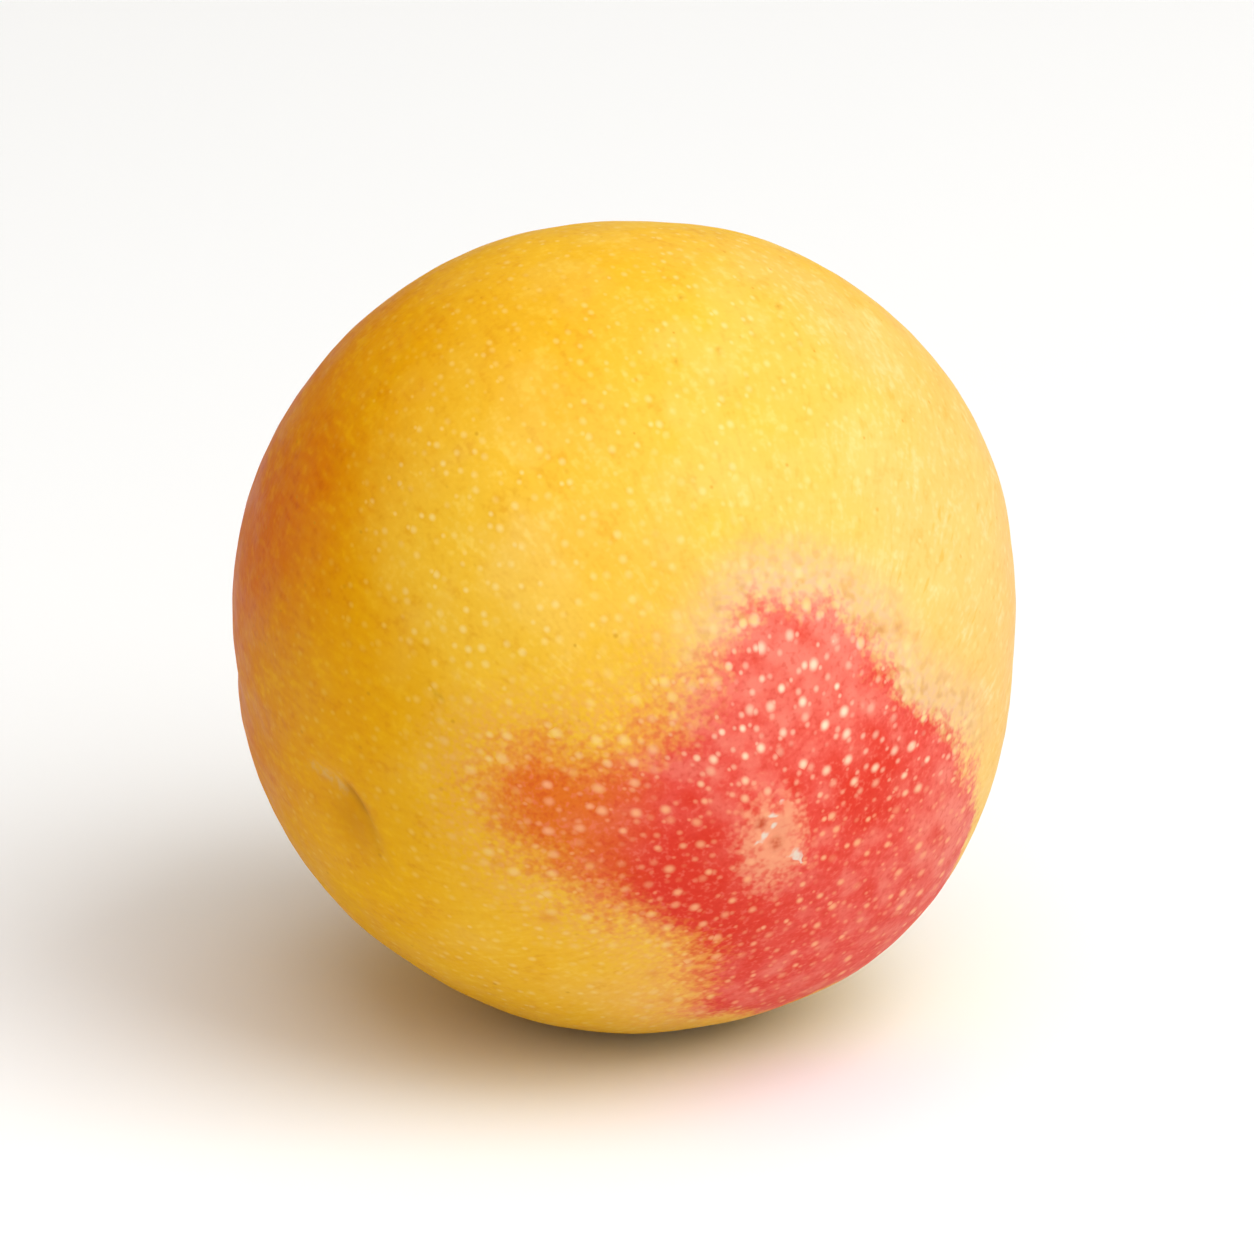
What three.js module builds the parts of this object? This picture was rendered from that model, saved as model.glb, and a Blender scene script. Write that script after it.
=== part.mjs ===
// A gold rush plumcot, one whole ripe fruit picked without its stalk, as it lies on a table.
// The fruit is a single solid. It is a little wider from cheek to cheek than across its seam, with a
// funnel-shaped cavity and a dry stalk scar at the stem end, a faint seam that deepens into that
// cavity, a blunt tip with a small scar at the blossom end, a healed crease beside the seam, and
// the broad swells and flats that a fruit grows against its neighbours.
// Millimetres, +Z up. The fruit's middle is above the origin, which lies in its small resting flat.
// The front of the fruit, with the blossom end, faces -Y.
import * as THREE from "three";
import { mergeVertices } from "three/addons/utils/BufferGeometryUtils.js";

// The body: half of its size along each of its own axes
const HALF_SEAM_WIDTH = 25.6;
const HALF_CHEEK_WIDTH = 26.5;
const HALF_LENGTH = 25.6;

// How it lies: the blossom end's heading from the front towards +X, how far it dips, and the
// roll of the seam about that axis, down from level on the left
const BLOSSOM_YAW = 21.6;
const BLOSSOM_DIP = 11.6;
const SEAM_ROLL = 8.7;
const REST_FLAT_DEPTH = 0.36;

// The stem end. Angles are seen from the fruit's middle, in degrees, and an edge is where a step
// in height starts and ends, as shares of its radius
const SHOULDER_RISE = 0.55;
const SHOULDER_ANGLE = 33;
const SHOULDER_SPREAD = 14;
const CAVITY_DEPTH = 5.2;
const CAVITY_SPREAD = 11.2;
const CAVITY_OVAL = 0.12;
const SCAR_RADIUS = 1.5;
const SCAR_HEIGHT = 0.4;
const SCAR_EDGE = [0.75, 1.2];
const SCAR_PIT_RADIUS = 0.75;
const SCAR_PIT_DEPTH = 0.3;
const SCAR_PIT_EDGE = [0.4, 1.3];

// The blossom end
const TIP_RISE = 0.5;
const TIP_SPREAD = 15;
const TIP_PIT_DEPTH = 0.22;
const TIP_PIT_RADIUS = 0.8;

// The seam: its depth at the shoulder, half its width, a wider valley under it, and the angles from
// the stem end where it is full, starts to fade and is gone
const SEAM_DEPTH = 0.7;
const SEAM_HALF_WIDTH = 1.4;
const VALLEY_DEPTH = 0.45;
const VALLEY_HALF_WIDTH = 5.5;
const SEAM_START = 9;
const SEAM_FADE = 20;
const SEAM_END = 112;

// The healed crease beside the seam: its middle's angle from the blossom end, its turn from the
// seam down towards the table, how far it bows, its length, width and depth, the lip along its
// upper edge and the shallow dent under its lower one
const CREASE_ANGLE = 66;
const CREASE_TURN = 35;
const CREASE_BOW = 1.7;
const CREASE_LENGTH = 7.6;
const CREASE_HALF_WIDTH = 0.5;
const CREASE_DEPTH = 0.36;
const CREASE_LIP_HEIGHT = 0.06;
const CREASE_LIP_OFFSET = -1.3;
const CREASE_LIP_HALF_WIDTH = 1.0;
const CREASE_DENT_DEPTH = 0.38;
const CREASE_DENT_OFFSET = 1.5;
const CREASE_DENT_HALF_WIDTH = 2.4;

// Broad swells and flats: heading from the front towards +X and height above the horizon, in
// degrees, how far the skin stands out there, and how wide the swell spreads, in degrees
const SWELLS = [
  { yaw: 88, up: -5, rise: -0.55, spread: 24 },
  { yaw: 71, up: -42, rise: 0.65, spread: 22 },
  { yaw: 112, up: 45, rise: 0.5, spread: 26 },
  { yaw: -47, up: -62, rise: -0.2, spread: 28 },
  { yaw: -150, up: 30, rise: -0.35, spread: 24 },
  { yaw: 160, up: -30, rise: -0.3, spread: 26 },
  { yaw: -100, up: 35, rise: 0.25, spread: 24 },
];

// The grid of the surface: it is finer near both ends and along the seam
const MERIDIANS = 84;
const RINGS = 52;
const END_CROWDING = 0.34;
const SEAM_CROWDING = 0.45;

const radians = THREE.MathUtils.degToRad;
const bell = (x, spread) => Math.exp(-((x / spread) ** 2));
const smooth = THREE.MathUtils.smoothstep;

// A unit vector that points at a heading from the front and a height above the horizon
function pointing(yaw, up) {
  return new THREE.Vector3(
    Math.sin(radians(yaw)) * Math.cos(radians(up)),
    -Math.cos(radians(yaw)) * Math.cos(radians(up)),
    Math.sin(radians(up)),
  );
}

// The fruit's own axes as it lies: X out through the seam, Y out through a cheek, Z out through
// the blossom end
function lyingAxes() {
  const blossom = pointing(BLOSSOM_YAW, -BLOSSOM_DIP);
  const level = new THREE.Vector3().crossVectors(blossom, new THREE.Vector3(0, 0, 1)).normalize();
  const seam = level.applyAxisAngle(blossom, radians(SEAM_ROLL));
  const cheek = new THREE.Vector3().crossVectors(blossom, seam);
  return new THREE.Matrix4().makeBasis(seam, cheek, blossom);
}

const axes = lyingAxes();
const swells = SWELLS.map((s) => ({
  ...s,
  along: pointing(s.yaw, s.up).transformDirection(axes.clone().transpose()),
}));

// The smooth body without its marks: distance from the middle to the skin along a unit vector
function bodyRadius(along) {
  const plain = new THREE.Vector3(
    along.x / HALF_SEAM_WIDTH,
    along.y / HALF_CHEEK_WIDTH,
    along.z / HALF_LENGTH,
  );
  const swell = swells.reduce(
    (sum, s) => sum + s.rise * bell(THREE.MathUtils.radToDeg(along.angleTo(s.along)), s.spread),
    0,
  );
  return 1 / plain.length() + swell;
}

// The stem end: shoulders, the funnel of the cavity and the stalk scar at its bottom. The funnel
// is a little longer along the seam than across it
function stemEnd(fromStem, longitude, radius) {
  const oval = 1 + CAVITY_OVAL * Math.cos(2 * longitude);
  const shoulder = SHOULDER_RISE * bell(fromStem - SHOULDER_ANGLE, SHOULDER_SPREAD);
  const funnel = CAVITY_DEPTH * bell(fromStem, CAVITY_SPREAD * oval);
  const out = radius * Math.sin(radians(fromStem));
  const scar = SCAR_HEIGHT * (1 - smooth(out / SCAR_RADIUS, ...SCAR_EDGE));
  const pit = SCAR_PIT_DEPTH * (1 - smooth(out / SCAR_PIT_RADIUS, ...SCAR_PIT_EDGE));
  return fromStem > 90 ? shoulder : shoulder - funnel + scar - pit;
}

// The blossom end: a blunt point with a small pit where the flower's style broke off
function blossomEnd(fromBlossom, radius) {
  const out = radius * radians(fromBlossom);
  return TIP_RISE * bell(fromBlossom, TIP_SPREAD) - TIP_PIT_DEPTH * bell(out, TIP_PIT_RADIUS);
}

// The seam runs along longitude 0, deep at the stem end and gone before the blossom end
function seam(fromStem, longitude, radius) {
  const aside = radius * Math.sin(radians(fromStem)) * longitude;
  const share = smooth(fromStem, 0, SEAM_START) * (1 - smooth(fromStem, SEAM_FADE, SEAM_END));
  const facing = Math.max(Math.cos(longitude), 0) ** 2;
  const groove = SEAM_DEPTH * bell(aside, SEAM_HALF_WIDTH);
  const valley = VALLEY_DEPTH * bell(aside, VALLEY_HALF_WIDTH);
  return -share * facing * (groove + valley);
}

// The crease: a short groove aslant where the seam fades, with a raised lip above it and a dent
// below. Its bow is half above its line in the middle and half below at the ends
function crease(fromBlossom, longitude, radius) {
  const ahead = radius * radians(CREASE_ANGLE - fromBlossom);
  const aside = radius * Math.sin(radians(CREASE_ANGLE)) * longitude;
  const turn = radians(CREASE_TURN);
  const along = ahead * Math.cos(turn) + aside * Math.sin(turn);
  const halfLength = CREASE_LENGTH / 2;
  const bow = CREASE_BOW * (0.5 - (along / halfLength) ** 2);
  const across = aside * Math.cos(turn) - ahead * Math.sin(turn) + bow;
  const length = bell(along, halfLength);
  const groove = CREASE_DEPTH * bell(across, CREASE_HALF_WIDTH);
  const lip = CREASE_LIP_HEIGHT * bell(across - CREASE_LIP_OFFSET, CREASE_LIP_HALF_WIDTH);
  const dent = CREASE_DENT_DEPTH * bell(across - CREASE_DENT_OFFSET, CREASE_DENT_HALF_WIDTH);
  return length * (lip - groove - dent);
}

// A point of the skin in the fruit's own axes. fromStem is in degrees, longitude in radians
function skinPoint(fromStem, longitude) {
  const polar = radians(fromStem);
  const along = new THREE.Vector3(
    Math.sin(polar) * Math.cos(longitude),
    Math.sin(polar) * Math.sin(longitude),
    -Math.cos(polar),
  );
  const fromBlossom = 180 - fromStem;
  const body = bodyRadius(along);
  const marks =
    stemEnd(fromStem, longitude, body) +
    blossomEnd(fromBlossom, body) +
    seam(fromStem, longitude, body) +
    crease(fromBlossom, longitude, body);
  return along.multiplyScalar(body + marks);
}

// Turns a unit sphere's grid into the fruit's skin. The grid's v runs from the stem end to the
// blossom end, and its u runs round from the seam
function fruitGeometry() {
  const geometry = new THREE.SphereGeometry(1, MERIDIANS, RINGS);
  const uv = geometry.getAttribute("uv");
  const position = geometry.getAttribute("position");
  for (let i = 0; i < position.count; i++) {
    const v = 1 - uv.getY(i);
    // The first and last rings hold half steps in u, which all fall on the pole itself
    const u = v === 0 || v === 1 ? 0 : uv.getX(i);
    const fromStem = 180 * (v - (END_CROWDING * Math.sin(2 * Math.PI * v)) / Math.PI);
    const turn = 2 * Math.PI * u - SEAM_CROWDING * Math.sin(2 * Math.PI * u);
    const longitude = u > 0.5 ? turn - 2 * Math.PI : turn;
    const point = skinPoint(fromStem, -longitude);
    position.setXYZ(i, point.x, point.y, point.z);
  }
  geometry.deleteAttribute("uv");
  geometry.deleteAttribute("normal");
  return mergeVertices(geometry, 1e-3);
}

// Lays the fruit down and presses its lowest skin into a small flat at z = 0
function restOnTable(geometry) {
  geometry.applyMatrix4(axes);
  geometry.computeBoundingBox();
  geometry.translate(0, 0, -geometry.boundingBox.min.z - REST_FLAT_DEPTH);
  const position = geometry.getAttribute("position");
  for (let i = 0; i < position.count; i++) {
    position.setZ(i, Math.max(position.getZ(i), 0));
  }
  geometry.computeVertexNormals();
  return geometry;
}

const skin = new THREE.MeshStandardMaterial({ color: 0xf2bd2a, roughness: 0.42, metalness: 0 });
const fruit = new THREE.Mesh(restOnTable(fruitGeometry()), skin);
fruit.name = "plumcot";

const plumcot = new THREE.Group();
plumcot.add(fruit);

export default plumcot;
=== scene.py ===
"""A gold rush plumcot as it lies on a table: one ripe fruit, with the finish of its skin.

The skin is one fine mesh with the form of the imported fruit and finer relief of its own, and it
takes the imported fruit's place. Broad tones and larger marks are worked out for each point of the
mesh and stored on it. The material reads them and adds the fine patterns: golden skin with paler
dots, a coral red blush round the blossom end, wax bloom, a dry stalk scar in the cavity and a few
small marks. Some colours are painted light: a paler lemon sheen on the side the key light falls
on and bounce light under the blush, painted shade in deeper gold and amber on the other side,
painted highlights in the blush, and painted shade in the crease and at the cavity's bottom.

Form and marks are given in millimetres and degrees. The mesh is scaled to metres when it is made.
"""
import math

import bpy
import numpy as np
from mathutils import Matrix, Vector


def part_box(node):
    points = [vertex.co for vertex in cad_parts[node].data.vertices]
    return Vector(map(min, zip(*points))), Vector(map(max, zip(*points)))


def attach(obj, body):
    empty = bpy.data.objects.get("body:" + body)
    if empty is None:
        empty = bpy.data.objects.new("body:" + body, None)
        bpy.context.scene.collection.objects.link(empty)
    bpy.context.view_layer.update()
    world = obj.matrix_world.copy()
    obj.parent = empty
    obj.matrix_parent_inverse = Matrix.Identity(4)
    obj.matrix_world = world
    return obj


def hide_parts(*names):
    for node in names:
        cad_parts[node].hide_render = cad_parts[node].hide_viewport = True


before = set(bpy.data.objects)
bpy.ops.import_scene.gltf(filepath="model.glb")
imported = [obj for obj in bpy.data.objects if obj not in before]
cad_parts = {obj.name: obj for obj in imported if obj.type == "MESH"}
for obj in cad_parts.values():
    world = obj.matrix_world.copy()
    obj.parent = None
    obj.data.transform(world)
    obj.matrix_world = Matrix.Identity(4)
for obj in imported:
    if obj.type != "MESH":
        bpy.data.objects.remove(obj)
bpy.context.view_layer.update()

MM = 0.001

# The body: half of its size along each of its own axes
HALF_SEAM_WIDTH = 25.6
HALF_CHEEK_WIDTH = 26.5
HALF_LENGTH = 25.6

# How it lies: the blossom end's heading from the front towards +X, how far it dips, and the
# roll of the seam about that axis, down from level on the left
BLOSSOM_YAW = 21.6
BLOSSOM_DIP = 11.6
SEAM_ROLL = 8.7

# The stem end. Angles are seen from the fruit's middle, in degrees, and an edge is where a step
# in height starts and ends, as shares of its radius
SHOULDER_RISE = 0.55
SHOULDER_ANGLE = 33
SHOULDER_SPREAD = 14
CAVITY_DEPTH = 5.2
CAVITY_SPREAD = 11.2
CAVITY_OVAL = 0.12
SCAR_RADIUS = 1.5
SCAR_HEIGHT = 0.4
SCAR_EDGE = (0.75, 1.2)
SCAR_PIT_RADIUS = 0.75
SCAR_PIT_DEPTH = 0.3
SCAR_PIT_EDGE = (0.4, 1.3)

# The blossom end
TIP_RISE = 0.5
TIP_SPREAD = 15
TIP_PIT_DEPTH = 0.22
TIP_PIT_RADIUS = 0.8

# The seam: its depth at the shoulder, half its width, a wider valley under it, and the angles from
# the stem end where it is full, starts to fade and is gone
SEAM_DEPTH = 0.7
SEAM_HALF_WIDTH = 1.4
VALLEY_DEPTH = 0.45
VALLEY_HALF_WIDTH = 5.5
SEAM_START = 9
SEAM_FADE = 20
SEAM_END = 112

# The healed crease beside the seam: its middle's angle from the blossom end, its turn from the
# seam down towards the table, how far it bows, its length, width and depth, the lip along its
# upper edge and the dent under its lower one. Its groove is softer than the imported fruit's
CREASE_ANGLE = 66
CREASE_TURN = 35
CREASE_BOW = 1.7
CREASE_LENGTH = 7.6
CREASE_HALF_WIDTH = 0.6
CREASE_DEPTH = 0.25
CREASE_LIP_HEIGHT = 0.06
CREASE_LIP_OFFSET = -1.3
CREASE_LIP_HALF_WIDTH = 1.0
CREASE_DENT_DEPTH = 0.38
CREASE_DENT_OFFSET = 1.5
CREASE_DENT_HALF_WIDTH = 2.4

# Broad swells and flats: heading from the front, height above the horizon, rise and spread
SWELLS = (
    (88, -5, -0.55, 24),
    (71, -42, 0.65, 22),
    (112, 45, 0.5, 26),
    (-47, -62, -0.2, 28),
    (-150, 30, -0.35, 24),
    (160, -30, -0.3, 26),
    (-100, 35, 0.25, 24),
)

# Gentle unevenness of the skin: wavelength and height, from broad to fine
UNEVENNESS = ((17.0, 0.08), (6.0, 0.022), (1.9, 0.006))
UNEVENNESS_SEED = 7

# The mesh: cells along each edge of the cube that is blown up into the fruit, and how much closer
# they are in the middle of a face, where the stem end, the blossom end and the seam lie
CELLS = 128
CROWDING = 0.35

# The margin of each of the six UV charts, as a share of the chart
CHART_EDGE = 0.006

# Random waves: how many make one layer, a wave's length against the size of its lumps, and the
# layers of clouds, each with its length and its height as shares of the first one's
WAVES = 20
LUMP_LENGTH = 1.8
CLOUD_LAYERS = ((1, 1.0), (1 / 2, 0.5), (1 / 4, 0.25))

# The mean radius that turns an angle into a length along the skin
SKIN_RADIUS = 26.0

# Sides of the golden skin: the heading and the height of the middle of each tone, and its spread.
# The deeper gold on the left is painted shade where less light falls, the paler lemon on the right
# is a painted sheen of the key light, and the amber on the left is partly the skin's own orange and
# partly painted shade with orange light thrown back by neighbouring fruit
SHADED_SIDE = (-92, 4, 76)
LIT_SIDE = (75, 15, 60)
AMBER_AND_SHADE_SIDE = (-90, 14, 44)
FLUSH_SIDE = (168, -28, 34)

# The green ring round the stem end: the angles from it where the green starts and is full, and how
# far the fine streaks shift them
GREEN_RING = (40.0, 6.0)
GREEN_RING_SHIFT = (-12.0, 12.0)

# The wax haze where it is thickest, and how much of it is lost where the deeper gold is
# painted shade
HAZE_SHARE = 0.14
HAZE_SHADED_LOSS = 0.12

# The angle from the stem end where the pale dots' flat map changes from one end's to the other's,
# and how far from it dots start to show and are whole
MAP_CHANGE = 91.0
MAP_CHANGE_EDGE = (0.2, 1.2)

# The material's patterns: how far a seed moves them and how rough noise is, and for dots how
# irregular they are, their sizes, where one starts and is full as shares of its radius, and how
# strong the weakest and the strongest are
SEED_STEP = (3.7, 5.3, 7.9)
NOISE_ROUGHNESS = 0.6
DOT_IRREGULARITY = 0.95
DOT_SIZES = (0.75, 1.25)
DOT_EDGE = (1.3, 0.15)
DOT_STRENGTHS = (0.3, 1.0)

# Fine streaks from end to end: how many go round the fruit, and how long they are
STREAKS_ROUND = 260
STREAK_LENGTH = 1.6

# The blush's edge in millimetres along the skin from the blossom scar: towards the seam, which is
# on the left as the fruit lies, and down towards the table. The stretch below right is out of sight
BLUSH_EDGE = (
    (-2.2, -15.3), (-5.0, -14.6), (-6.8, -13.2), (-8.9, -10.9), (-9.6, -8.3), (-10.5, -5.8),
    (-12.9, -3.2), (-15.8, 0.2), (-17.6, 5.3), (-18.8, 11.0), (-17.0, 17.5), (-12.0, 21.5),
    (-5.0, 22.5), (1.5, 21.0), (4.6, 17.5), (4.6, 14.0), (4.6, 11.2), (5.2, 9.2), (6.3, 7.5),
    (8.2, 5.7), (9.9, 4.6), (12.1, 3.2), (13.9, 1.6), (16.1, -1.0), (17.4, -3.4), (17.6, -5.8),
    (16.3, -7.0), (14.7, -7.3), (12.8, -7.6), (10.7, -7.8), (8.6, -7.8), (5.9, -8.7),
    (4.6, -10.0), (3.4, -11.6), (2.1, -12.9), (0.2, -14.2),
)

# How far inside its edge the blush starts and is full, each on the right and on the left, and what
# a dot adds to a point's depth inside it
BLUSH_START = (-0.9, -2.8)
BLUSH_FULL = (1.2, 2.6)
BLUSH_DOT_NOTCH = -1.4

# Places on the same map, with a spread: where the deeper gold's painted shade is weaker, where the
# golden skin is paler under the blush as painted bounce light from the table, and where the blush
# is deeper or lighter, its lighter places being painted highlights on its lit right. A share is
# how strong a tone is there, and how strong the blush's deep blotches are against its light ones
WEAKER_SHADE_PATCH = (18.0, -23.0, 8.0)
WEAKER_SHADE_SHARE = 0.6
BOUNCE_LIGHT_PATCH = (8.5, 15.5, 6.0)
BOUNCE_LIGHT_SHARE = 0.35
DEEP_SPOTS = ((7.0, 1.5, 4.5), (-7.0, -0.5, 3.5), (3.0, 8.0, 4.5))
HIGHLIGHT_SPOTS = ((-4.5, -12.5, 6.5), (-16.5, 6.5, 5.5))
DEEP_BLOTCH_SHARE = 0.7

# The dots in the blush stand closer near the blossom scar, and stretch away from it
DOT_SPREAD = 5.0
DOT_STRETCH = 0.22

# The scar where the flower was, on the same map: its middle, its reach to the side and downwards
# with one for the third axis that takes it out, the thin grey lines of dry skin in it, and its
# dark pits, with their size
BLOSSOM_SCAR = (0.2, 0.5)
BLOSSOM_SCAR_REACH = (2.2, 3.4, 1000.0)
BLOSSOM_SCAR_LINES = (
    ((-0.6, -2.6), (0.1, -1.7)),
    ((0.1, -1.7), (0.2, -0.8)),
    ((0.2, -0.8), (1.2, 0.1)),
    ((-0.9, 1.5), (-1.5, 2.6)),
)
BLOSSOM_SCAR_LINE_HALF_WIDTH = 0.36
BLOSSOM_SCAR_PITS = ((1.0, -1.2, 0.6), (0.1, 0.6, 0.7))

# Small marks: the colour and the strength of each kind, then the place on the same map and the
# size of each mark
SMALL_MARKS = {
    "rust": ((224, 120, 54), 0.4, (
        (15.0, 5.6, 1.0), (8.0, 11.8, 0.9), (6.6, 15.8, 0.8), (18.0, 1.0, 0.6),
    )),
    "brown": ((206, 130, 54), 0.6, (
        (-10.2, -10.7, 0.7), (-11.6, -10.3, 0.8), (-13.0, -9.0, 0.5), (-34.1, -20.4, 0.7),
    )),
    "olive": ((188, 136, 24), 0.6, (
        (21.1, -11.4, 0.45), (-6.2, -37.1, 0.4), (-14.7, -33.6, 0.45), (-6.3, -32.0, 0.4),
        (-2.3, -32.1, 0.35),
    )),
}

# The stalk scar's rings of colour, from the outside in: where each one starts and is full, as
# shares of the scar's radius. The outer ring turns the cavity's bottom olive and darker: partly the
# skin's own greener colour, partly painted shade in the hollow
CAVITY_RING = (2.6, 1.0)
CORK_RING = (1.2, 1.0)
STALK_HOLE_RING = (0.55, 0.25)

# The spread of a mark or a pit as a share of its size
MARK_SPREAD = 0.6

# Marks in the crease, by their place along and across it: pale healed skin, the dark line under
# the lip with its faint end, which is painted shadow, and the dent, darkened with painted shade.
# Each has its spread
CREASE_HEALED = ((-3.3, 0.3), (-0.8, 0.4))
CREASE_HEALED_SPREAD = 0.42
CREASE_LINE = ((-0.5, -0.1), (1.3, -0.2))
CREASE_LINE_SPREAD = 0.42
CREASE_LINE_END = ((1.3, -0.2), (3.6, 0.4))
CREASE_LINE_END_SPREAD = 0.6
CREASE_LINE_END_SHARE = 0.3
CREASE_DENT_SHADE = (1.2, 1.5)
CREASE_DENT_SHADE_SPREAD = 2.2

# How strongly marks show where they are whole
SEAM_SHARE = 0.4
SPECK_SHARE = 0.5
EDGE_DOT_SHARE = 0.5
BLUSH_DOT_SHARE = 0.9
FAINT_DOT_SHARE = 0.5
CREASE_DENT_SHADE_SHARE = 0.55
CREASE_LINE_SHARE = 0.45

# Colours of the golden skin as seen on a screen, 0 to 255. The first four are the ground's, each
# in a dark, a mild and a light grade. The lemon is a painted sheen and painted bounce light, the
# deep gold is painted shade, and the amber is partly the skin's own orange and partly painted
# shade. The dots are deeper under the painted shade too
GOLD = ((234, 171, 32), (245, 195, 52), (251, 212, 88))
LIT_LEMON = ((240, 180, 84), (248, 198, 110), (253, 219, 154))
SHADED_GOLD = ((229, 156, 1), (240, 179, 3), (248, 196, 14))
AMBER_AND_SHADE = ((210, 92, 1), (226, 118, 1), (238, 150, 4))
WAX_HAZE = (249, 219, 136)
ORANGE_FLUSH = (232, 118, 48)
STEM_GREEN = (220, 200, 78)
PALE_DOT = (253, 232, 158)
SHADED_DOT = (250, 206, 84)
DARK_DASH = (230, 170, 44)
DARK_SPECK = (206, 142, 24)
SEAM_SHADE = (214, 140, 26)

# Colours of the blush and of the skin round it
CORAL = (233, 83, 71)
# Light coral: partly the blush's own lighter blotches, partly a painted highlight on its lit right
LIGHT_CORAL_AND_HIGHLIGHT = (241, 127, 109)
DEEP_RED = (224, 60, 42)
ORANGE_RED = (228, 116, 34)
DARK_GRAIN = (212, 52, 34)
LIGHT_GRAIN = (243, 132, 110)
CORAL_DOT = (250, 176, 128)
CREAM_DOT = (252, 230, 196)
EDGE_DOT = (252, 222, 150)
WARM_EDGE = (240, 170, 88)
BEIGE_FRINGE = (233, 188, 142)
FRINGE_STIPPLE = (214, 158, 86)

# Colours of the scars and of the crease. The cavity's olive is partly the skin's own colour and
# partly painted shade, the dent's darker gold is painted shade, and the crease's dark line is
# painted shadow
TORN_SKIN = (246, 168, 128)
SCAR_PIT = (190, 66, 30)
DRY_LINE = (232, 216, 198)
CAVITY_OLIVE_AND_SHADE = (176, 148, 52)
DARK_CORK = (148, 104, 52)
LIGHT_CORK = (212, 176, 116)
STALK_HOLE = (92, 58, 28)
DENT_SHADE = (202, 128, 4)
HEALED_SKIN = (230, 186, 108)
CREASE_SHADE = (156, 92, 8)

# How bright plain white is on the skin. The colours above are seen in that light
SKIN_LIGHT = 1.09

# The skin's surface: its roughness, which varies with the mottling, its shine and its pores
SKIN_ROUGHNESS = (0.42, 0.54)
SKIN_IOR = 1.4
SKIN_SHINE = 0.09
PORE_SIZE = 0.35
PORE_DEPTH = 0.1 * MM
PORE_STRENGTH = 0.2

# The floor: half of its side in metres, and its surface
FLOOR_HALF = 3.0
FLOOR_COLOUR = (0.915, 0.943, 0.97, 1)
FLOOR_ROUGHNESS = 0.8

# The light from all round: linear colours on the left and on the right, and where the one starts
# to turn into the other and has turned, from -1 on the left to 1 on the right
WORLD_LEFT = (0.36, 0.25, 0.12, 1)
WORLD_RIGHT = (0.34, 0.34, 0.34, 1)
WORLD_TURN = (-0.7, 0.3)

# About the height of the fruit's middle, which the lights and the camera face
MIDDLE_HEIGHT = 26.1 * MM

# Square lights: heading from the front, height above the horizon, distance, size and power
LIGHTS = {
    "key": (62, 50, 0.9, 0.7, 5.4),
    "front": (10, 30, 1.1, 0.8, 2.4),
    "overhead": (20, 80, 1.6, 1.8, 12.3),
}

# The camera: it looks down at the fruit, far enough off for a long lens
CAMERA_ELEVATION = 20
CAMERA_DISTANCE = 0.765
CAMERA_LENS = 340
CAMERA_SENSOR = 36


def bell(x, spread):
    return np.exp(-((x / spread) ** 2))


def smooth(x, low, high):
    t = np.clip((x - low) / (high - low), 0, 1)
    return t * t * (3 - 2 * t)


def pointing(yaw, up):
    """A unit vector at a heading from the front towards +X and a height above the horizon."""
    yaw, up = np.radians(yaw), np.radians(up)
    return np.array([np.sin(yaw) * np.cos(up), -np.cos(yaw) * np.cos(up), np.sin(up)])


def lying_axes():
    """The fruit's own axes as columns: out through the seam, a cheek and the blossom end."""
    blossom = pointing(BLOSSOM_YAW, -BLOSSOM_DIP)
    level = np.cross(blossom, (0, 0, 1))
    level /= np.linalg.norm(level)
    roll = np.radians(SEAM_ROLL)
    seam_way = level * np.cos(roll) + np.cross(blossom, level) * np.sin(roll)
    return np.column_stack([seam_way, np.cross(blossom, seam_way), blossom])


AXES = lying_axes()


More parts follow.
